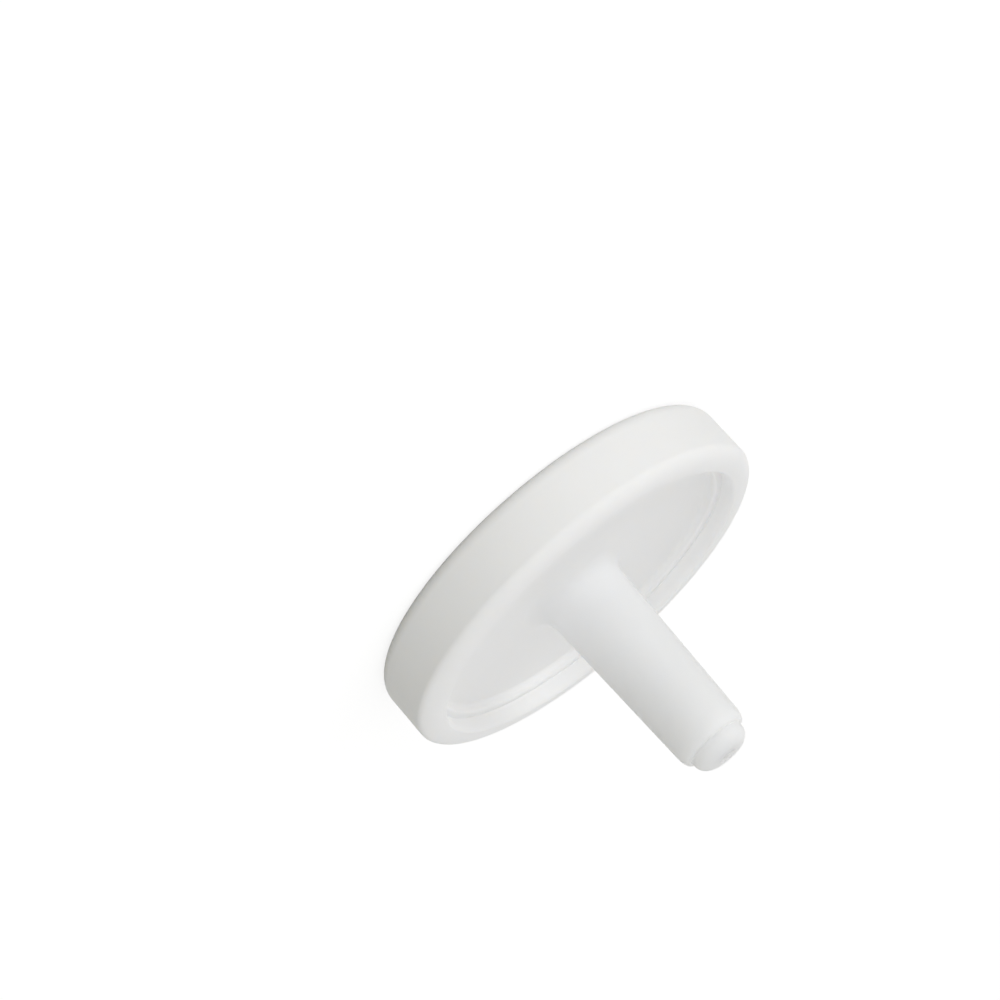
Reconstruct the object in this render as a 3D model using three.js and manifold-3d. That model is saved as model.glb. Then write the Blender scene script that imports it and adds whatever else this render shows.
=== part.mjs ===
// A disc filter for a syringe: two moulded halves clamp a round membrane and an
// overmoulded ring grips both edges. It stands on the crown of its inlet rim, stem up:
// liquid enters at the ribbed face underneath and leaves through the stem on top.
// Millimetres, the flow axis on Z and the inlet rim's crown at z = 0.
import * as THREE from 'three';
import { mergeVertices } from 'three/addons/utils/BufferGeometryUtils.js';
import Module from 'manifold-3d';

const wasm = await Module();
wasm.setup();

// ---- driving dimensions -------------------------------------------------------

// membrane and the weld that shuts the halves around it
const membraneDiameter = 25;
const membraneThickness = 0.15;
const membraneClearance = 0.1;
const weldWidth = 1.25;

// overmoulded ring; a round's drop is its height and its side its width
const ringSeatClearance = 0.05;
const ringWall = 1.1;
const inletLip = 1.15;
const outletLip = 0.95;
const outletEdgeDrop = 0.9;
const outletEdgeSide = 1.5;
const lipEdgeDrop = 0.5;
const lipEdgeSide = 0.25;
const crownOuterDrop = 1.0;
const crownInnerDrop = 0.75;
const crownFlat = 0.4;

// inlet plate: a flat land round a low cone that carries the ribs
const plateThickness = 0.8;
const inletRecess = 1.5;
const landWidth = 2.4;
const coneRise = 1.15;
const coneFade = 1.5;
const nubDiameter = 1.3;
const nubHeight = 0.2;
const nubTopDiameter = 1.04;
const portDiameter = 0.5;

// ribs on the cone
const ribPairs = 12;
const ribHeight = 0.32;
const longRib = { start: 2.8, innerWidth: 0.9, outerWidth: 1.7 };
const shortRib = { start: 6.4, innerWidth: 0.8, outerWidth: 1.3 };
const ribRunOut = 1.4;

// outlet body: web, stepped recess, and a stem with a tip set in by tipStep
const webThickness = 0.8;
const stepDepth = 0.7;
const outletRecess = 1.25;
const ledgeWidth = 0.6;
const stepRound = 0.3;
const stemLength = 13.1;
const stemEndDiameter = 5.3;
const stemTaper = 0.062;
const stemRootRound = 1.5;
const shoulderDrop = 0.9;
const shoulderSide = 0.3;
const tipStep = 0.5;
const tipLength = 1.3;
const tipDrop = 1.0;
const tipFlat = 0.3;
const boreTipDiameter = 1.2;
const boreDrainDiameter = 2.2;

// drainage channels against the membrane
const channelCount = 12;
const channelWidth = 0.8;
const channelDepth = 0.35;
const channelRingRadii = [4.2, 8];
const sealWidth = 1.2;

// facets
const turnSteps = 72;
const roundSteps = 4;
const ribColumns = [-1, -0.5, 0, 0.5, 1];
const coneRibbedSteps = 12;
const coneHollowSteps = 3;
const mergeDistance = 1e-5;

// ---- worked-out sizes ---------------------------------------------------------

const membraneRadius = membraneDiameter / 2;
const weldRadius = membraneRadius + membraneClearance;
const edgeRadius = weldRadius + weldWidth;
const seatRadius = edgeRadius + ringSeatClearance;
const discRadius = seatRadius + ringWall;
const inletLipRadius = edgeRadius - inletLip;
const outletLipRadius = edgeRadius - outletLip;
const coneRadius = inletLipRadius - landWidth;
const stepRadius = outletLipRadius - ledgeWidth;

// heights above the inlet rim's crown
const landLevel = inletRecess;
const membraneLevel = landLevel + plateThickness;
const webLevel = membraneLevel + membraneThickness;
const floorLevel = webLevel + webThickness;
const ledgeLevel = floorLevel + stepDepth;
const outletRimLevel = ledgeLevel + outletRecess;
const shoulderLevel = outletRimLevel + stemLength;
const tipLevel = shoulderLevel + tipLength;

// ---- helpers ------------------------------------------------------------------

/** Points of a round from angle a0 to a1 (degrees) about (r, z), radii rr and rz. */
function round(r, z, rr, rz, a0, a1) {
  const points = [];
  for (let i = 0; i <= roundSteps; i++) {
    const a = THREE.MathUtils.degToRad(a0 + ((a1 - a0) * i) / roundSteps);
    points.push([r + rr * Math.cos(a), z + rz * Math.sin(a)]);
  }
  return points;
}

/** A body turned about Z from a closed outline of [radius, height] points, which
 *  runs anticlockwise when the radius points right and the height up. */
function turned(outline) {
  const points = [...outline, outline[0]].map(([r, z]) => new THREE.Vector2(r, z));
  const geometry = new THREE.LatheGeometry(points, turnSteps);
  geometry.rotateX(Math.PI / 2);
  return geometry;
}

/** A closed three.js geometry as a Manifold solid. */
function toSolid(geometry) {
  const bare = geometry.clone();
  bare.deleteAttribute('normal');
  bare.deleteAttribute('uv');
  const merged = mergeVertices(bare, mergeDistance);
  return new wasm.Manifold(
    new wasm.Mesh({
      numProp: 3,
      vertProperties: new Float32Array(merged.attributes.position.array),
      triVerts: new Uint32Array(merged.index.array),
    }),
  );
}

/** A Manifold solid as a three.js geometry, with normals averaged at its corners. */
function toGeometry(solid) {
  const mesh = solid.getMesh();
  const geometry = new THREE.BufferGeometry();
  geometry.setAttribute('position', new THREE.BufferAttribute(mesh.vertProperties, 3));
  geometry.setIndex(new THREE.BufferAttribute(mesh.triVerts, 1));
  geometry.computeVertexNormals();
  return geometry;
}

/** A closed body through rings that all have the same number of points, each joined
 *  to the next and the last one to the first. The rings' section runs anticlockwise. */
function lofted(rings) {
  const around = rings[0].length;
  const index = [];
  for (let ring = 0; ring < rings.length; ring++) {
    for (let p = 0; p < around; p++) {
      const next = ring * around + ((p + 1) % around);
      const a = ring * around + p;
      const b = (a + around) % (rings.length * around);
      const c = (next + around) % (rings.length * around);
      index.push(a, next, c, a, c, b);
    }
  }
  const geometry = new THREE.BufferGeometry();
  const positions = new THREE.Float32BufferAttribute(rings.flat(2), 3);
  geometry.setAttribute('position', positions);
  geometry.setIndex(index);
  geometry.computeVertexNormals();
  return geometry;
}

// ---- rim ring -----------------------------------------------------------------

/** The ring that is moulded round both halves: a C section whose two lips hold the
 *  plates' edges, with a rounded crown at z = 0 on the inlet side. */
function rimRing() {
  const crownMiddle = (inletLipRadius + discRadius) / 2;
  const crownIn = crownMiddle - crownFlat / 2;
  const crownOut = crownMiddle + crownFlat / 2;
  const edgeCentre = discRadius - outletEdgeSide;
  const edgeLevel = outletRimLevel - outletEdgeDrop;
  const lipCentre = outletLipRadius + lipEdgeSide;
  const lipLevel = outletRimLevel - lipEdgeDrop;
  return turned([
    ...round(crownIn, crownInnerDrop, crownIn - inletLipRadius, crownInnerDrop, 180, 270),
    ...round(crownOut, crownOuterDrop, discRadius - crownOut, crownOuterDrop, 270, 360),
    ...round(edgeCentre, edgeLevel, outletEdgeSide, outletEdgeDrop, 0, 90),
    ...round(lipCentre, lipLevel, lipEdgeSide, lipEdgeDrop, 90, 180),
    [outletLipRadius, ledgeLevel],
    [seatRadius, ledgeLevel],
    [seatRadius, landLevel],
    [inletLipRadius, landLevel],
  ]);
}

// ---- inlet plate --------------------------------------------------------------

/** How far the plate's cone stands out from the land at radius r: steepest at the
 *  middle. */
function coneHeight(r) {
  return coneRise * Math.max(0, 1 - r / coneRadius) ** coneFade;
}

/** A rib's width and height at radius r; beyond its ends the width stays and the
 *  height is nothing. */
function ribSection(rib, r) {
  const share = THREE.MathUtils.clamp((r - rib.start) / (coneRadius - rib.start), 0, 1);
  const fromEnd = Math.min(r - rib.start, coneRadius - r);
  return {
    width: THREE.MathUtils.lerp(rib.innerWidth, rib.outerWidth, share),
    height: ribHeight * THREE.MathUtils.smoothstep(fromEnd, 0, ribRunOut),
  };
}

/** One ring of the plate at radius r and height z. Its points stand in columns across
 *  the rounded back of each rib, long and short ribs in turn, which hang below z. */
function plateRing(r, z, ribbed = false) {
  const ring = [];
  for (let k = 0; k < 2 * ribPairs; k++) {
    const rib = k % 2 === 0 ? longRib : shortRib;
    const section = ribSection(rib, r);
    const spread = section.width / 2 / THREE.MathUtils.clamp(r, rib.start, coneRadius);
    for (const across of ribColumns) {
      const angle = (Math.PI * k) / ribPairs + across * spread;
      const drop = ribbed ? section.height * (1 - across ** 2) : 0;
      ring.push([r * Math.cos(angle), r * Math.sin(angle), z - drop]);
    }
  }
  return ring;
}

/** The inlet half of the housing: a land that the ring grips, a hollow cone with a
 *  port in a small nub, and long and short ribs in turn. Its z = 0 is the face against
 *  the membrane, and its weld rises past the membrane to the outlet body. */
function inletPlate() {
  const portRadius = portDiameter / 2;
  const nubRadius = nubDiameter / 2;
  const nubEnd = -plateThickness - coneHeight(nubRadius) - nubHeight;
  const coneRings = (steps, level, ribbed) =>
    Array.from({ length: steps + 1 }, (_, i) => {
      const r = THREE.MathUtils.lerp(nubRadius, coneRadius, i / steps);
      return plateRing(r, level - coneHeight(r), ribbed);
    });
  return lofted([
    plateRing(portRadius, nubEnd),
    plateRing(nubTopDiameter / 2, nubEnd),
    ...coneRings(coneRibbedSteps, -plateThickness, true),
    plateRing(edgeRadius, -plateThickness),
    plateRing(edgeRadius, membraneThickness),
    plateRing(weldRadius, membraneThickness),
    plateRing(weldRadius, 0),
    ...coneRings(coneHollowSteps, 0, false).reverse(),
    plateRing(portRadius, -coneHeight(portRadius)),
  ]);
}

// ---- membrane -----------------------------------------------------------------

/** The round filter membrane, clamped between the halves. Its z = 0 is its inlet side. */
function membrane() {
  const geometry = new THREE.CylinderGeometry(
    membraneRadius,
    membraneRadius,
    membraneThickness,
    turnSteps,
  );
  geometry.rotateX(Math.PI / 2);
  geometry.translate(0, 0, membraneThickness / 2);
  return geometry;
}

// ---- outlet body --------------------------------------------------------------

/** The outlet half of the housing: an edge that the ring grips, a thin web with
 *  drainage channels underneath, and the bored, tapered stem with its domed tip.
 *  Its z = 0 is the face against the membrane. */
function outletBody() {
  const [floor, ledge, shoulder, end] = [floorLevel, ledgeLevel, shoulderLevel, tipLevel].map(
    (level) => level - webLevel,
  );
  const endRadius = stemEndDiameter / 2;
  const tipRadius = endRadius - tipStep;
  const boreTip = boreTipDiameter / 2;
  const boreDrain = boreDrainDiameter / 2;
  const stemRadius = (z) => endRadius + ((shoulder - z) * stemTaper) / 2;
  const rootEnd = floor + stemRootRound;
  const rootCentre = stemRadius(rootEnd) + stemRootRound;
  const stepCentre = stepRadius - stepRound;
  const shoulderCentre = endRadius - shoulderSide;
  const tipCentre = boreTip + tipFlat;
  const ringChannels = channelRingRadii.flatMap((r) => [
    [r - channelWidth / 2, 0],
    [r - channelWidth / 2, channelDepth],
    [r + channelWidth / 2, channelDepth],
    [r + channelWidth / 2, 0],
  ]);
  const body = toSolid(
    turned([
      [boreDrain, 0],
      ...ringChannels,
      [edgeRadius, 0],
      [edgeRadius, ledge],
      [stepRadius, ledge],
      ...round(stepCentre, floor + stepRound, stepRound, stepRound, 0, -90),
      ...round(rootCentre, rootEnd, stemRootRound, stemRootRound, 270, 180),
      ...round(shoulderCentre, shoulder - shoulderDrop, shoulderSide, shoulderDrop, 0, 90),
      [tipRadius, shoulder],
      ...round(tipCentre, end - tipDrop, tipRadius - tipCentre, tipDrop, 0, 90),
      [boreTip, end],
    ]),
  );
  const channelReach = membraneRadius - sealWidth;
  const channel = new THREE.BoxGeometry(channelReach, channelWidth, 2 * channelDepth);
  channel.translate(channelReach / 2, 0, 0);
  const cutter = toSolid(channel);
  let drained = body;
  for (let i = 0; i < channelCount; i++) {
    drained = drained.subtract(cutter.rotate([0, 0, (360 / channelCount) * i]));
  }
  return toGeometry(drained);
}

// ---- assembly -----------------------------------------------------------------

/** A named mesh with its own material, seated at a height on the flow axis. */
function piece(name, geometry, level, color, roughness) {
  const material = new THREE.MeshStandardMaterial({ color, roughness, metalness: 0 });
  const mesh = new THREE.Mesh(geometry, material);
  mesh.name = name;
  mesh.position.z = level;
  return mesh;
}

const group = new THREE.Group();
group.add(
  piece('rim_ring', rimRing(), 0, 0xf6f7f8, 0.42),
  piece('inlet_plate', inletPlate(), membraneLevel, 0xe4e7e1, 0.4),
  piece('filter_membrane', membrane(), membraneLevel, 0xf8f6ee, 0.9),
  piece('outlet_body', outletBody(), webLevel, 0xe1e3e6, 0.4),
);

export default group;
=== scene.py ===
# %% [markdown]
# # A disc filter for a syringe
#
# The real filter is four pieces. Two halves of natural polypropylene clamp a thin
# membrane, and a white ring is moulded round both edges so that they can't part. It
# stands here on the rim of its ribbed inlet face, with the outlet stem on top.
#
# The frame brings each piece at its real size, as flat facets. They could be smoothed
# with a modifier, but a smoothed facet is still a facet at its outline. So each piece
# that shows is worked out again as a fine surface from the same sizes, and takes the
# place of its solid.

import bpy
import numpy as np
from mathutils import Matrix, Vector


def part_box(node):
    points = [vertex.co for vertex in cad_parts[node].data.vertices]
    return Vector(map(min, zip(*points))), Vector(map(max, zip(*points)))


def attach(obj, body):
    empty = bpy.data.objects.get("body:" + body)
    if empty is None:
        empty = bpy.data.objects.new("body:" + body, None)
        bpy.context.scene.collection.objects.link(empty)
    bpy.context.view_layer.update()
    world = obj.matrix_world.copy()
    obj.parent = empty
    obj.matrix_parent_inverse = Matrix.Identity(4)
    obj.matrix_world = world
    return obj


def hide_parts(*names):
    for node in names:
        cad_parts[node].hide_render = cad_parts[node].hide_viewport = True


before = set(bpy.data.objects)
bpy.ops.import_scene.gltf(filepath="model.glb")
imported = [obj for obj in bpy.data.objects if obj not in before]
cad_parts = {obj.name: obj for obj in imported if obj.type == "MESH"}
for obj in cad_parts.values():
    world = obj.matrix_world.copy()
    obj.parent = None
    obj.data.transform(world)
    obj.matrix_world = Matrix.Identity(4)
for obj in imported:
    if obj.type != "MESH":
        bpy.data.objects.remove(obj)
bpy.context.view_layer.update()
print("frame nodes:", sorted(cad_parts))

# %% [markdown]
# ## Sizes
#
# What the frame can tell is read from it: how wide each piece is and at what height it
# starts and ends. Widths of lips, rounds and channels can't be read from a box, so
# they are named here in millimetres and turned into metres once.

# %% Read the main sizes from the frame
MM = 0.001

ring_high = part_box("rim_ring")[1]
body_low, body_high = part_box("outlet_body")
membrane_low, membrane_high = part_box("filter_membrane")

disc_radius = ring_high.x
outlet_rim_level = ring_high.z
edge_radius = body_high.x
web_level = body_low.z
end_level = body_high.z
membrane_level = membrane_low.z
membrane_thickness = membrane_high.z - membrane_low.z
membrane_radius = membrane_high.x
print("disc radius", round(disc_radius / MM, 2), "mm, rim at", round(outlet_rim_level / MM, 2))
print("stem ends at", round(end_level / MM, 2), "mm")

# %% [markdown]
# ## Sections with eased corners
#
# All three shells are turned forms, so each starts as a section: a closed outline of
# radius and height. A moulded edge is never sharp, and a bare corner would also smear
# the shading across the flats next to it. So each corner is swapped for a quarter of
# an ellipse that touches both of its sides, and one more point on either side keeps
# the flats flat when the surface is shaded smooth.

# %% A section with eased corners
CORNER_STEPS = 10
SUPPORT = 0.04 * MM
SHARP = 0.03 * MM
SAME_PLACE = 1e-9


def section(corners):
    """Closed outline through corners, given as rows of radius, height, back and ahead.
    With a and b the directions to the corners before and after, a corner at P becomes
    C - b * ahead * cos(t) - a * back * sin(t) for t from 0 to 90 degrees, where
    C = P + a * back + b * ahead. Corners with no easing stay one point."""
    corners = np.array(corners, float)
    place, back, ahead = corners[:, :2], corners[:, 2:3], corners[:, 3:4]
    before = np.roll(place, 1, axis=0) - place
    after = np.roll(place, -1, axis=0) - place
    a = before / np.linalg.norm(before, axis=1, keepdims=True)
    b = after / np.linalg.norm(after, axis=1, keepdims=True)
    turn = np.linspace(0, np.pi / 2, CORNER_STEPS + 1)[None, :, None]
    centre = (place + a * back + b * ahead)[:, None]
    curve = centre - (b * ahead)[:, None] * np.cos(turn) - (a * back)[:, None] * np.sin(turn)
    eased = (back > 0)[:, None]
    first = curve[:, :1] + eased * SUPPORT * a[:, None]
    last = curve[:, -1:] + eased * SUPPORT * b[:, None]
    points = np.concatenate([first, curve, last], axis=1).reshape(-1, 2)
    step = np.linalg.norm(points - np.roll(points, 1, axis=0), axis=1)
    return points[step > SAME_PLACE]


print("an eased corner takes", CORNER_STEPS + 3, "points")


# %% [markdown]
# ## From a section to a mesh
#
# Every shell has a hole down its middle, so its surface is a ring round a ring: one
# parameter runs along the section and closes on itself, and the other runs round the
# axis and closes too. That makes a grid with no poles and no seams.

# %% A closed surface from a grid of points
def surface(name, grid):
    """A smooth mesh from points in rows along the section and columns round the axis.
    Each point is joined to the next in its row and in its column, and the last ones
    to the first. With the section and the columns anticlockwise the faces look out."""
    rows, columns = grid.shape[:2]
    here = np.arange(rows * columns).reshape(rows, columns)
    beside = np.roll(here, -1, axis=1)
    ahead, across = np.roll(here, -1, axis=0), np.roll(beside, -1, axis=0)
    faces = np.stack([here, beside, across, ahead], axis=-1).reshape(-1, 4)
    points = grid.reshape(-1, 3)
    mesh = bpy.data.meshes.new(name)
    mesh.from_pydata(points.tolist(), [], faces.tolist())
    mesh.shade_smooth()
    piece = bpy.data.objects.new(name, mesh)
    bpy.context.scene.collection.objects.link(piece)
    a, b, c, d = points[faces].transpose(1, 0, 2)
    volume = (np.cross(a, b) * c + np.cross(a, c) * d).sum() / 6
    print(f"{name}: {rows} x {columns} points, {2 * len(faces)} triangles, {volume / MM**3:.1f} mm3")
    return piece


def spun(radius, height, angle):
    """Points at radius and height, turned to angle: x = r cos, y = r sin, z = height."""
    x, y = radius * np.cos(angle), radius * np.sin(angle)
    return np.stack([x, y, height + 0 * angle], axis=-1)


# %% [markdown]
# ## The rim ring
#
# The ring is overmoulded: the two halves lie in a second mould, and white plastic is
# shot round their edges. Its section is a C whose lips hold both plates. The crown on
# the inlet side is the fuller one, and it is what the filter stands on. Hot plastic
# fills the corner where it meets the other half, so the foot of that lip is bedded a
# hair's breadth in, and no groove shows round it.

# %% The ring's sizes
ring_wall = 1.1 * MM
inlet_lip = 1.15 * MM
outlet_lip = 0.95 * MM
outlet_edge_drop = 0.9 * MM
outlet_edge_side = 1.5 * MM
lip_edge_drop = 0.5 * MM
lip_edge_side = 0.25 * MM
crown_outer_drop = 1.0 * MM
crown_inner_drop = 0.75 * MM
crown_flat = 0.4 * MM
inlet_recess = 1.5 * MM
outlet_recess = 1.25 * MM

seat_radius = disc_radius - ring_wall
inlet_lip_radius = edge_radius - inlet_lip
outlet_lip_radius = edge_radius - outlet_lip
land_level = inlet_recess
ledge_level = outlet_rim_level - outlet_recess
foot_level = ledge_level - SHARP
crown_side = (disc_radius - inlet_lip_radius - crown_flat) / 2
print("ring section", round((disc_radius - inlet_lip_radius) / MM, 2), "mm wide")

# %% The ring
RING_COLUMNS = 360

ring_section = section(
    [
        (inlet_lip_radius, 0, crown_inner_drop, crown_side),
        (disc_radius, 0, crown_side, crown_outer_drop),
        (disc_radius, outlet_rim_level, outlet_edge_drop, outlet_edge_side),
        (outlet_lip_radius, outlet_rim_level, lip_edge_side, lip_edge_drop),
        (outlet_lip_radius, foot_level, SHARP / 3, SHARP / 3),
        (seat_radius, foot_level, SHARP, SHARP),
        (seat_radius, land_level, SHARP, SHARP),
        (inlet_lip_radius, land_level, SHARP, SHARP),
    ]
)
ring_turn = np.linspace(0, 2 * np.pi, RING_COLUMNS, endpoint=False)
ring_r, ring_z = ring_section[:, :1], ring_section[:, 1:]
ring = surface("moulded_rim_ring", spun(ring_r, ring_z, ring_turn[None]))

# %% [markdown]
# ## The ribbed inlet plate
#
# Liquid from the syringe lands on this face. A low hollow cone rises towards a small
# port, and long and short ribs in turn stiffen it. Ribs could be separate bars joined
# to a cone, but a moulded plate has no joins. So the face is one height over radius
# and angle, and the columns of its grid follow the ribs' sides, which keeps each rib's
# foot a clean line however wide it grows.

# %% The plate's sizes
plate_thickness = membrane_level - land_level
land_width = 2.4 * MM
cone_rise = 1.15 * MM
cone_fade = 1.5
nub_radius = 0.65 * MM
nub_top_radius = 0.52 * MM
nub_height = 0.2 * MM
port_radius = 0.25 * MM
weld_radius = membrane_radius + 0.1 * MM
cone_radius = inlet_lip_radius - land_width

rib_pairs = 12
rib_height = 0.32 * MM
rib_run_out = 1.4 * MM
long_rib = (2.8 * MM, 0.9 * MM, 1.7 * MM)
short_rib = (6.4 * MM, 0.8 * MM, 1.3 * MM)
print("cone radius", round(cone_radius / MM, 2), "mm, ribs", 2 * rib_pairs)


# %% The cone and the ribs as formulas
def smooth_step(x):
    """0 below 0 and 1 above 1, and 3 x^2 - 2 x^3 between."""
    x = np.clip(x, 0, 1)
    return x * x * (3 - 2 * x)


def cone_height(radius):
    """How far the cone stands out from the land: rise * (1 - r / cone radius) ^ fade."""
    return cone_rise * np.clip(1 - radius / cone_radius, 0, 1) ** cone_fade


def rib_foot(radius, start, inner_width, outer_width):
    """Half the rib's angle at its foot: its width, which grows evenly with the radius,
    over twice the radius. Outside its ends the angle is that of the nearer end."""
    radius = np.clip(radius, start, cone_radius)
    share = (radius - start) / (cone_radius - start)
    return (inner_width + share * (outer_width - inner_width)) / (2 * radius)


def rib_lift(radius, start):
    """The rib's height along its back: full, and run out smoothly at both ends."""
    to_end = np.minimum(radius - start, cone_radius - radius)
    return rib_height * smooth_step(to_end / rib_run_out)


print("the cone stands out", round(cone_height(0) / MM, 2), "mm at the axis")

# %% The plate's columns, which follow the ribs
ACROSS_RIB = np.linspace(-1, 1, 11)
BETWEEN_RIBS = 4


def plate_columns(radius):
    """Angles round one ring at each radius, and each column's place across its rib: -1
    and 1 are the rib's feet, 0 its back. Between the feet of two ribs lie evenly
    spaced columns whose place is 1, where the rib's height is nothing."""
    pitch = np.pi / rib_pairs
    feet = np.concatenate([rib_foot(radius, *long_rib), rib_foot(radius, *short_rib)], axis=1)
    share = np.arange(1, BETWEEN_RIBS + 1) / (BETWEEN_RIBS + 1)
    angles, places = [], []
    for k in range(2 * rib_pairs):
        foot, next_foot = feet[:, k % 2, None], feet[:, (k + 1) % 2, None]
        gap = pitch - foot - next_foot
        angles += [k * pitch + ACROSS_RIB * foot, k * pitch + foot + share * gap]
        places += [ACROSS_RIB, np.ones(BETWEEN_RIBS)]
    return np.concatenate(angles, axis=1), np.concatenate(places)


print(2 * rib_pairs * (ACROSS_RIB.size + BETWEEN_RIBS), "columns round the plate")

# %% The plate
FACE_ROWS = 64
HOLLOW_ROWS = 24

face_radius = np.linspace(nub_radius, cone_radius, FACE_ROWS)
hollow_radius = np.linspace(cone_radius, nub_radius, HOLLOW_ROWS)
nub_end = membrane_level - plate_thickness - cone_height(nub_radius) - nub_height
weld_level = membrane_level + membrane_thickness


def plain_points(radius, height):
    """Section points with no easing, as rows of radius, height, 0 and 0."""
    return np.stack([radius, height, 0 * radius, 0 * radius], axis=1)


plate_section = section(
    np.vstack(
        [
            [(port_radius, nub_end, 2 * SHARP, 2 * SHARP)],
            [(nub_top_radius, nub_end, 2 * SHARP, 2 * SHARP)],
            plain_points(face_radius, land_level - cone_height(face_radius)),
            [(edge_radius, land_level, SHARP, SHARP)],
            [(edge_radius, weld_level, SHARP, SHARP)],
            [(weld_radius, weld_level, SHARP, SHARP)],
            [(weld_radius, membrane_level, SHARP, SHARP)],
            plain_points(hollow_radius, membrane_level - cone_height(hollow_radius)),
            [(port_radius, membrane_level - cone_height(port_radius), SHARP, SHARP)],
        ]
    )
)
plate_r, plate_z = plate_section[:, :1], plate_section[:, 1:]
plate_angle, rib_place = plate_columns(plate_r)
columns_per_rib = rib_place.size // (2 * rib_pairs)
is_long = np.arange(rib_place.size) // columns_per_rib % 2 == 0
lift = np.where(is_long, rib_lift(plate_r, long_rib[0]), rib_lift(plate_r, short_rib[0]))
on_face = plate_z <= land_level - SAME_PLACE
drop = np.where(on_face, lift * (1 - rib_place**2), 0)
plate = surface("ribbed_inlet_plate", spun(plate_r, plate_z - drop, plate_angle))

# %% [markdown]
# ## The outlet body
#
# Web and stem are one moulding. On the stem's side it has a stepped recess, a round
# where the stem leaves the web, the luer-like taper and a domed tip round the bore.
# Against the membrane it has shallow channels that lead what comes through to the
# bore. They could be cut with a boolean, which leaves long thin faces. Here they are
# part of the height instead, with columns that follow the channels' walls.

# %% The body's sizes
web_thickness = 0.8 * MM
ledge_width = 0.6 * MM
ledge_round = 0.25 * MM
step_round = 0.3 * MM
stem_end_radius = 2.65 * MM
stem_taper = 0.062
stem_root_round = 1.5 * MM
shoulder_drop = 0.9 * MM
shoulder_side = 0.3 * MM
tip_step = 0.5 * MM
tip_length = 1.3 * MM
tip_drop = 1.0 * MM
tip_flat = 0.3 * MM
bore_tip_radius = 0.6 * MM
bore_drain_radius = 1.1 * MM

floor_level = web_level + web_thickness
shoulder_level = end_level - tip_length
step_radius = outlet_lip_radius - ledge_width
tip_radius = stem_end_radius - tip_step
tip_side = tip_radius - bore_tip_radius - tip_flat
root_radius = stem_end_radius + (shoulder_level - floor_level) * stem_taper / 2
stem_widths = [round(2 * radius / MM, 2) for radius in (root_radius, stem_end_radius)]
print("stem tapers over", stem_widths, "mm across")

# %% The channels' sizes
channel_count = 12
channel_half = 0.4 * MM
channel_depth = 0.35 * MM
channel_rings = np.array([4.2, 8]) * MM
channel_reach = membrane_radius - 1.2 * MM
channel_pitch = 2 * np.pi / channel_count
lands_start = channel_half / np.sin(channel_pitch / 2)
print("channels part", round(lands_start / MM, 2), "mm from the axis")

# %% The body's section
BED_ROWS = 6


def channel_corners(middle):
    """The four corners of a ring channel's section, up one side and down the other."""
    inner, outer, top = middle - channel_half, middle + channel_half, web_level + channel_depth
    heights = [web_level, top, top, web_level]
    return [(r, z, SHARP, SHARP) for r, z in zip([inner, inner, outer, outer], heights)]


def bed_points(inner, outer):
    """Plain points on the face against the membrane, from one radius to another."""
    radius = np.linspace(inner, outer, BED_ROWS)
    return plain_points(radius, web_level + 0 * radius)


body_section = section(
    np.vstack(
        [
            [(bore_drain_radius, web_level, SHARP, SHARP)],
            bed_points(lands_start - SHARP, lands_start + SHARP),
            channel_corners(channel_rings[0]),
            channel_corners(channel_rings[1]),
            bed_points(channel_reach - SHARP, channel_reach),
            [(edge_radius, web_level, SHARP, SHARP)],
            [(edge_radius, ledge_level, SHARP, SHARP)],
            [(step_radius, ledge_level, ledge_round, ledge_round)],
            [(step_radius, floor_level, step_round, step_round)],
            [(root_radius, floor_level, stem_root_round, stem_root_round)],
            [(stem_end_radius, shoulder_level, shoulder_drop, shoulder_side)],
            [(tip_radius, shoulder_level, 2 * SHARP, 2 * SHARP)],
            [(tip_radius, end_level, tip_drop, tip_side)],
            [(bore_tip_radius, end_level, 2 * SHARP, 2 * SHARP)],
        ]
    )
)
print("body section has", len(body_section), "points")

# %% The body's columns, which follow the channels
WALL = 0.02 * MM
NEARLY = 0.98
BETWEEN_CHANNELS = 17


def body_columns(radius):
    """Angles round one ring at each radius. Each channel's floor and walls keep their
    distance y from its middle, so their angle is asin(y / r), held short of half the
    pitch near the bore where the channels run together."""
    floor_half = channel_half - WALL
    across = np.array([-channel_half, -floor_half, 0, floor_half, channel_half])
    most = np.sin(channel_pitch / 2 * NEARLY)
    offset = np.arcsin(np.clip(across / np.minimum(radius, edge_radius), -most, most))
    share = np.arange(1, BETWEEN_CHANNELS + 1) / (BETWEEN_CHANNELS + 1)
    between = offset[:, -1:] + share * (channel_pitch - 2 * offset[:, -1:])
    one = np.concatenate([offset, between], axis=1)
    middles = np.arange(channel_count) * channel_pitch
    return (middles[None, :, None] + one[:, None]).reshape(len(radius), -1)


print(channel_count, "spokes,", round(2 * channel_half / MM, 2), "mm wide")

# %% The body
body_r, body_z = body_section[:, :1], body_section[:, 1:]
on_bed = body_z < web_level + channel_depth + SAME_PLACE
follow_r = np.where(on_bed & (body_r < edge_radius), body_r, edge_radius)
body_angle = body_columns(follow_r)
from_middle = np.abs((body_angle + channel_pitch / 2) % channel_pitch - channel_pitch / 2)
in_channel = (body_r * np.sin(from_middle) < channel_half - WALL / 2) & (body_r < channel_reach)
cut = on_bed & in_channel
body_height = np.where(cut, np.maximum(body_z, web_level + channel_depth), body_z)
body = surface("outlet_stem_body", spun(body_r, body_height, body_angle))

# %% Put the pieces on the frame
for piece, node, slot in (
    (ring, "rim_ring", "overmoulded_ring"),
    (plate, "inlet_plate", "natural_housing"),
    (body, "outlet_body", "natural_housing"),
):
    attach(piece, "root")
    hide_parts(node)
    print(f"{piece.name} stands for {node}")
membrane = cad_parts["filter_membrane"]

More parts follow.
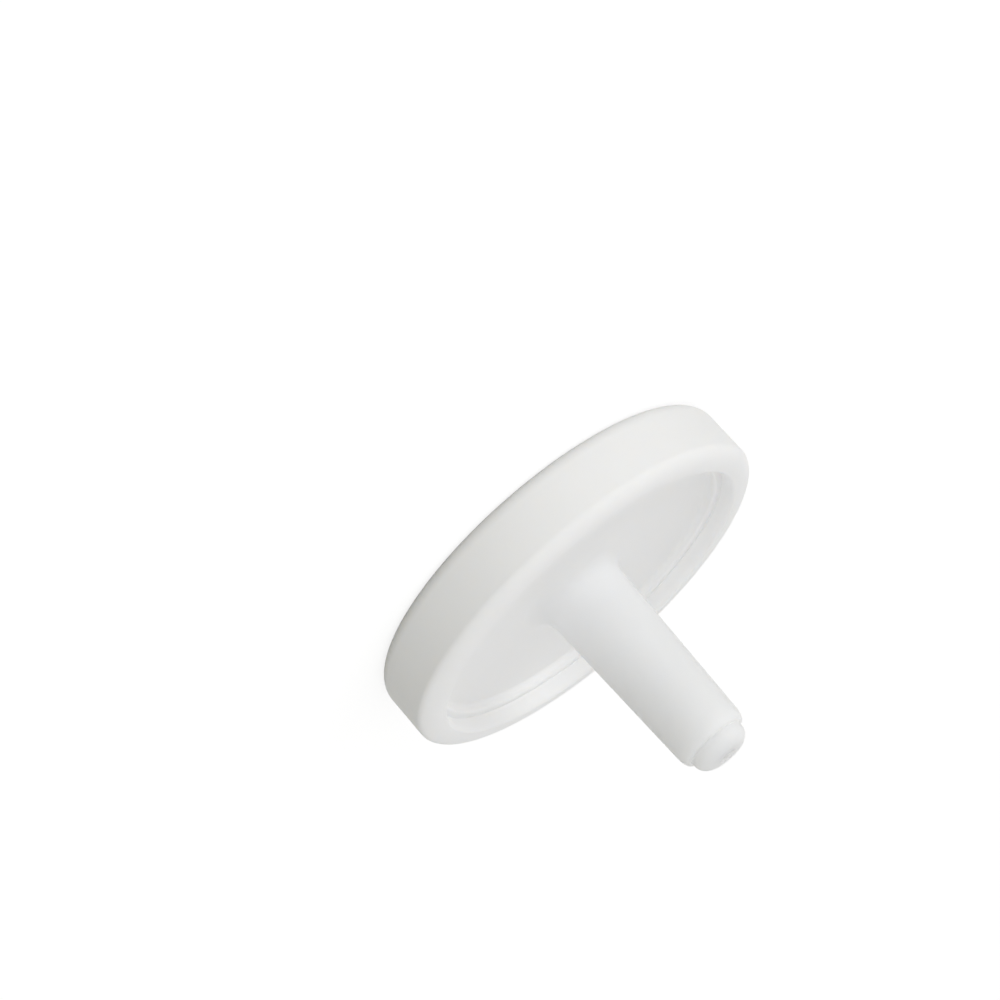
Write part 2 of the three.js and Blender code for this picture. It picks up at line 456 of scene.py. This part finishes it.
# %% [markdown]
# ## Moulded polypropylene
#
# Polypropylene is milky: light goes a little way in and comes out softened, and the
# skin has a satin gloss from the mould's polish. Clear glass with a cloudy volume
# would be the full account, but it is slow and grainy. Subsurface scattering gives
# the same milkiness near the surface. Faint clouding varies the tone, and a fine grain
# in the bump keeps the gloss from looking machined.

# %% The moulded plastic's nodes
CLOUDS_PER_M = 140
GRAINS_PER_M = 2600
GLOSS_SPREAD = 0.04
PLASTIC_IOR = 1.49
REACH_BY_COLOUR = (1, 0.96, 0.9)


def moulded_plastic(name, colour, cloud, depth, roughness, grain):
    """Satin, milky plastic. colour is its tone and cloud how far the clouding darkens
    it; depth is how far light goes in, and grain the height of the skin's bumps."""
    material = bpy.data.materials.new(name)
    material.use_nodes = True
    nodes, links = material.node_tree.nodes, material.node_tree.links
    skin = nodes["Principled BSDF"]
    where = nodes.new("ShaderNodeTexCoord")

    clouding = nodes.new("ShaderNodeTexNoise")
    clouding.inputs["Scale"].default_value = CLOUDS_PER_M
    clouding.inputs["Detail"].default_value = 3
    links.new(where.outputs["Object"], clouding.inputs["Vector"])
    tone = nodes.new("ShaderNodeMix")
    tone.data_type = "RGBA"
    tone.inputs["A"].default_value = (*colour, 1)
    tone.inputs["B"].default_value = (*[c * (1 - cloud) for c in colour], 1)
    links.new(clouding.outputs["Fac"], tone.inputs["Factor"])
    links.new(tone.outputs["Result"], skin.inputs["Base Color"])

    fine = nodes.new("ShaderNodeTexNoise")
    fine.inputs["Scale"].default_value = GRAINS_PER_M
    fine.inputs["Detail"].default_value = 2
    links.new(where.outputs["Object"], fine.inputs["Vector"])
    gloss = nodes.new("ShaderNodeMapRange")
    gloss.inputs["To Min"].default_value = roughness - GLOSS_SPREAD
    gloss.inputs["To Max"].default_value = roughness + GLOSS_SPREAD
    links.new(fine.outputs["Fac"], gloss.inputs["Value"])
    links.new(gloss.outputs["Result"], skin.inputs["Roughness"])
    bump = nodes.new("ShaderNodeBump")
    bump.inputs["Distance"].default_value = grain
    links.new(fine.outputs["Fac"], bump.inputs["Height"])
    links.new(bump.outputs["Normal"], skin.inputs["Normal"])

    skin.inputs["IOR"].default_value = PLASTIC_IOR
    skin.inputs["Subsurface Weight"].default_value = 1
    skin.inputs["Subsurface Radius"].default_value = REACH_BY_COLOUR
    skin.inputs["Subsurface Scale"].default_value = depth
    print(f"{name}: tone {colour}, light goes {depth / MM:.2f} mm in")
    return material


# %% Two plastics: the white ring and the natural halves
SKIN_DEPTH = 0.01 * MM
WHITE = (0.92, 0.92, 0.92)
NATURAL = (0.93, 0.93, 0.93)

skin = {"depth": SKIN_DEPTH, "roughness": 0.55, "grain": 0.004 * MM}
white_plastic = moulded_plastic("white_polypropylene", colour=WHITE, cloud=0.02, **skin)
natural_plastic = moulded_plastic("natural_polypropylene", colour=NATURAL, cloud=0.03, **skin)

# %% [markdown]
# ## Light inside the stem
#
# The natural halves are one plastic, but light fares differently in them. The web is
# thin and the white membrane behind it sends back what comes through, so there the
# light may as well turn round at the surface. The stem stands free: light crosses it,
# and evens out the bright side and the dark one. A second plastic for the stem would
# show a seam where they meet, so the depth of one plastic grows from the web into the
# stem instead. Height alone won't do, as the ledge by the ring is as high as the
# stem's root, so a quarter of the distance from the axis is taken off it.


# %% The depth by height and distance
SLANT = 1 / 4
STEM_DEPTH = 6 * MM


def deepen_stem(material, web_depth, stem_depth):
    """How far light goes in, by z - r / 4: web_depth where the root's round leaves the
    web, and stem_depth on the stem two such rounds above it, evenly between."""
    nodes, links = material.node_tree.nodes, material.node_tree.links
    where, apart = nodes.new("ShaderNodeTexCoord"), nodes.new("ShaderNodeSeparateXYZ")
    flat, away = (nodes.new("ShaderNodeVectorMath") for _ in range(2))
    slant = nodes.new("ShaderNodeMath")
    flat.operation, away.operation, slant.operation = "MULTIPLY", "LENGTH", "MULTIPLY_ADD"
    flat.inputs[1].default_value = (1, 1, 0)
    slant.inputs[1].default_value = -SLANT
    round_starts = floor_level - SLANT * (root_radius + stem_root_round)
    two_rounds_up = floor_level + 2 * stem_root_round - SLANT * root_radius
    depth = nodes.new("ShaderNodeMapRange")
    depth.inputs["From Min"].default_value = round_starts
    depth.inputs["From Max"].default_value = two_rounds_up
    depth.inputs["To Min"].default_value = web_depth
    depth.inputs["To Max"].default_value = stem_depth
    links.new(where.outputs["Object"], apart.inputs["Vector"])
    links.new(where.outputs["Object"], flat.inputs[0])
    links.new(flat.outputs["Vector"], away.inputs[0])
    links.new(away.outputs["Value"], slant.inputs[0])
    links.new(apart.outputs["Z"], slant.inputs[2])
    links.new(slant.outputs[0], depth.inputs["Value"])
    links.new(depth.outputs["Result"], nodes["Principled BSDF"].inputs["Subsurface Scale"])
    print(f"{material.name}: light goes {stem_depth / MM:.2f} mm in at the stem")


deepen_stem(natural_plastic, SKIN_DEPTH, STEM_DEPTH)
ring.data.materials.append(white_plastic)
plate.data.materials.append(natural_plastic)
body.data.materials.append(natural_plastic)

# %% [markdown]
# ## The membrane
#
# The membrane is paper-thin, with pores far too small to see, and it lies hidden
# between the halves. Its solid is already a plain disc, which is right, so it stays
# and only gets its dead matt finish: no gloss and a fine fibrous mottle.


# %% The membrane's nodes
PORES_PER_M = 5000
PORE_DEPTH = 0.01 * MM
PORE_TONE = 0.93
PAPER_WHITE = (0.92, 0.91, 0.87)


def pored_membrane(name, colour):
    """Dead matt white, with a fine mottle in tone and height from one noise."""
    material = bpy.data.materials.new(name)
    material.use_nodes = True
    nodes, links = material.node_tree.nodes, material.node_tree.links
    skin = nodes["Principled BSDF"]
    where = nodes.new("ShaderNodeTexCoord")
    pores = nodes.new("ShaderNodeTexNoise")
    pores.inputs["Scale"].default_value = PORES_PER_M
    pores.inputs["Detail"].default_value = 4
    links.new(where.outputs["Object"], pores.inputs["Vector"])
    tone = nodes.new("ShaderNodeMix")
    tone.data_type = "RGBA"
    tone.inputs["A"].default_value = (*colour, 1)
    tone.inputs["B"].default_value = (*[c * PORE_TONE for c in colour], 1)
    links.new(pores.outputs["Fac"], tone.inputs["Factor"])
    links.new(tone.outputs["Result"], skin.inputs["Base Color"])
    bump = nodes.new("ShaderNodeBump")
    bump.inputs["Distance"].default_value = PORE_DEPTH
    links.new(pores.outputs["Fac"], bump.inputs["Height"])
    links.new(bump.outputs["Normal"], skin.inputs["Normal"])
    skin.inputs["Roughness"].default_value = 0.95
    skin.inputs["Specular IOR Level"].default_value = 0.1
    print(f"{name}: tone {colour}")
    return material


membrane.data.materials.clear()
membrane.data.materials.append(pored_membrane("matt_membrane", PAPER_WHITE))

# %% [markdown]
# ## Floor and light
#
# A plain studio floor carries the filter and takes its soft shadow. Rays that look at
# the background find it lifted to white by a little light of its own, and the rays
# that carry light find plain paint, so the lift adds no light to the filter. That
# paint is painted light and shade: pale on the lamps' side, so that more light bounces
# onto the filter from there, and dim on the other side as painted shade. An even world
# lights the filter from all round. A wide lamp high up would wash out the step between
# rim and wall, so two small lamps stand low, just high enough to look over the near
# rim: together they give the wall its fall from light to shade and reach the recess's
# far side past both sides of the stem.

# %% The rays that see the background
def seeing_rays(nodes, links):
    """A socket that is 1 for rays that show the background, from the camera or by way
    of a gloss or a clear piece, and 0 for all the rays that carry light."""
    ray, both, every = (nodes.new(f"ShaderNode{kind}") for kind in ("LightPath", "Math", "Math"))
    links.new(ray.outputs["Is Camera Ray"], both.inputs[0])
    links.new(ray.outputs["Is Glossy Ray"], both.inputs[1])
    links.new(both.outputs[0], every.inputs[0])
    links.new(ray.outputs["Is Transmission Ray"], every.inputs[1])
    every.use_clamp = True
    return every.outputs[0]


# %% A tone that changes from one side to the other
def side_tone(nodes, links, dim, pale, azimuth, reach):
    """A colour that goes evenly from dim to pale across the origin, over reach on
    either side of it. The azimuth is the pale side's, where 0 is -Y and 90 is +X."""
    kinds = ("TexCoord", "VectorMath", "MapRange", "Mix")
    where, along, share, tone = (nodes.new(f"ShaderNode{kind}") for kind in kinds)
    a = np.radians(azimuth)
    along.operation = "DOT_PRODUCT"
    along.inputs[1].default_value = (np.sin(a), -np.cos(a), 0)
    share.inputs["From Min"].default_value = -reach
    share.inputs["From Max"].default_value = reach
    tone.data_type = "RGBA"
    tone.inputs["A"].default_value = (*dim, 1)
    tone.inputs["B"].default_value = (*pale, 1)
    links.new(where.outputs["Object"], along.inputs[0])
    links.new(along.outputs["Value"], share.inputs["Value"])
    links.new(share.outputs["Result"], tone.inputs["Factor"])
    return tone.outputs["Result"]


# %% The floor
FLOOR_HALF = 4.0

floor_mesh = bpy.data.meshes.new("floor")
square = np.array([(-1, -1, 0), (1, -1, 0), (1, 1, 0), (-1, 1, 0)])
floor_mesh.from_pydata((square * FLOOR_HALF).tolist(), [], [(0, 1, 2, 3)])
floor = bpy.data.objects.new("floor", floor_mesh)
bpy.context.scene.collection.objects.link(floor)
print("floor", 2 * FLOOR_HALF, "m square")

# %% The floor's paint
# Painted light and shade on the floor: the paint that carries light is pale on the lamps' side and
# dim on the other
FLOOR_PAINTED_SHADE = (0.32, 0.32, 0.26)
FLOOR_PAINTED_LIGHT = (0.75, 0.75, 0.73)
FLOOR_SEEN = (0.3, 0.3, 0.3)
FLOOR_LIFT = 0.78
PAINTED_LIGHT_SIDE = -65
PAINTED_LIGHT_REACH = 15 * MM

floor_paint = bpy.data.materials.new("pale_floor")
floor_paint.use_nodes = True
paint, joins = floor_paint.node_tree.nodes, floor_paint.node_tree.links
paint.remove(paint["Principled BSDF"])
kinds = ("BsdfDiffuse", "BsdfDiffuse", "Emission", "AddShader", "MixShader")
plain, seen, lifted, added, shown = (paint.new(f"ShaderNode{kind}") for kind in kinds)
# painted light and shade: pale towards the lamps, dim away from them
painted_light_and_shade = side_tone(paint, joins, FLOOR_PAINTED_SHADE, FLOOR_PAINTED_LIGHT, PAINTED_LIGHT_SIDE, PAINTED_LIGHT_REACH)
joins.new(painted_light_and_shade, plain.inputs["Color"])
seen.inputs["Color"].default_value = (*FLOOR_SEEN, 1)
lifted.inputs["Strength"].default_value = FLOOR_LIFT
joins.new(seen.outputs[0], added.inputs[0])
joins.new(lifted.outputs[0], added.inputs[1])
joins.new(seeing_rays(paint, joins), shown.inputs["Fac"])
joins.new(plain.outputs[0], shown.inputs[1])
joins.new(added.outputs[0], shown.inputs[2])
joins.new(shown.outputs[0], paint["Material Output"].inputs["Surface"])
floor_mesh.materials.append(floor_paint)
print("floor paint: dim", FLOOR_PAINTED_SHADE, "pale", FLOOR_PAINTED_LIGHT)

# %% The world
WORLD_STRENGTH = 0.75
WORLD_TONE = (1, 1, 0.99)

world = bpy.data.worlds.new("studio")
bpy.context.scene.world = world
world.use_nodes = True
sky, links = world.node_tree.nodes, world.node_tree.links
around = sky["Background"]
around.inputs["Color"].default_value = (*WORLD_TONE, 1)
around.inputs["Strength"].default_value = WORLD_STRENGTH
backdrop, either = sky.new("ShaderNodeBackground"), sky.new("ShaderNodeMixShader")
backdrop.inputs["Color"].default_value = (1, 1, 1, 1)
links.new(seeing_rays(sky, links), either.inputs["Fac"])
links.new(around.outputs[0], either.inputs[1])
links.new(backdrop.outputs[0], either.inputs[2])
links.new(either.outputs[0], sky["World Output"].inputs["Surface"])
print("world strength", WORLD_STRENGTH)


# %% The lamps
def low_lamp(name, azimuth, power, distance=0.6, width=0.4, height=0.1):
    """A low white lamp that faces the disc, from half its height above the floor to
    one and a half. Its azimuth is in degrees, where 0 is -Y and 90 is +X."""
    a = np.radians(azimuth)
    back = Vector((np.sin(a), -np.cos(a), 0))
    light = bpy.data.lights.new(name, "AREA")
    light.shape = "RECTANGLE"
    light.size, light.size_y, light.energy = width, height, power
    lamp = bpy.data.objects.new(name, light)
    place = back * distance + Vector((0, 0, height))
    turn = back.to_track_quat("Z", "Y").to_matrix()
    lamp.matrix_world = Matrix.Translation(place) @ turn.to_4x4()
    lamp.visible_camera = False
    bpy.context.scene.collection.objects.link(lamp)
    print(f"{name}: {power} W at {distance} m")


low_lamp("side_lamp", azimuth=-62, power=0.7)
low_lamp("front_lamp", azimuth=-6, power=0.5)

# %% [markdown]
# ## The camera
#
# The lens is long, so the disc's far edge is hardly smaller than its near one. The
# camera looks down on the stem's side at a low angle and is rolled, so that the
# standing filter appears to lie over with its stem to the lower right.

# %% The camera
CAMERA_ELEVATION = 19.33
CAMERA_ROLL = 138.35
CAMERA_DISTANCE = 182.7 * MM
LENS = 93.86
NEAREST, FARTHEST = 1 * MM, 20
AIM_RIGHT = 6.53 * MM
AIM_DOWN = 7.36 * MM

rise = np.radians(CAMERA_ELEVATION)
back = Vector((0, -np.cos(rise), np.sin(rise)))
level = Matrix((Vector((1, 0, 0)), back.cross(Vector((1, 0, 0))), back)).transposed()
rolled = level @ Matrix.Rotation(np.radians(CAMERA_ROLL), 3, "Z")
rim_centre = Vector((0, 0, outlet_rim_level))
lens = bpy.data.cameras.new("camera")
lens.lens = LENS
lens.clip_start, lens.clip_end = NEAREST, FARTHEST
camera = bpy.data.objects.new("camera", lens)
eye = rim_centre - rolled @ Vector((AIM_RIGHT, -AIM_DOWN, -CAMERA_DISTANCE))
camera.matrix_world = Matrix.Translation(eye) @ rolled.to_4x4()
bpy.context.scene.collection.objects.link(camera)
bpy.context.scene.camera = camera
print("camera stands", round(eye.z / MM, 1), "mm above the floor")

# %% Finish
bpy.context.scene.view_settings.view_transform = "Standard"
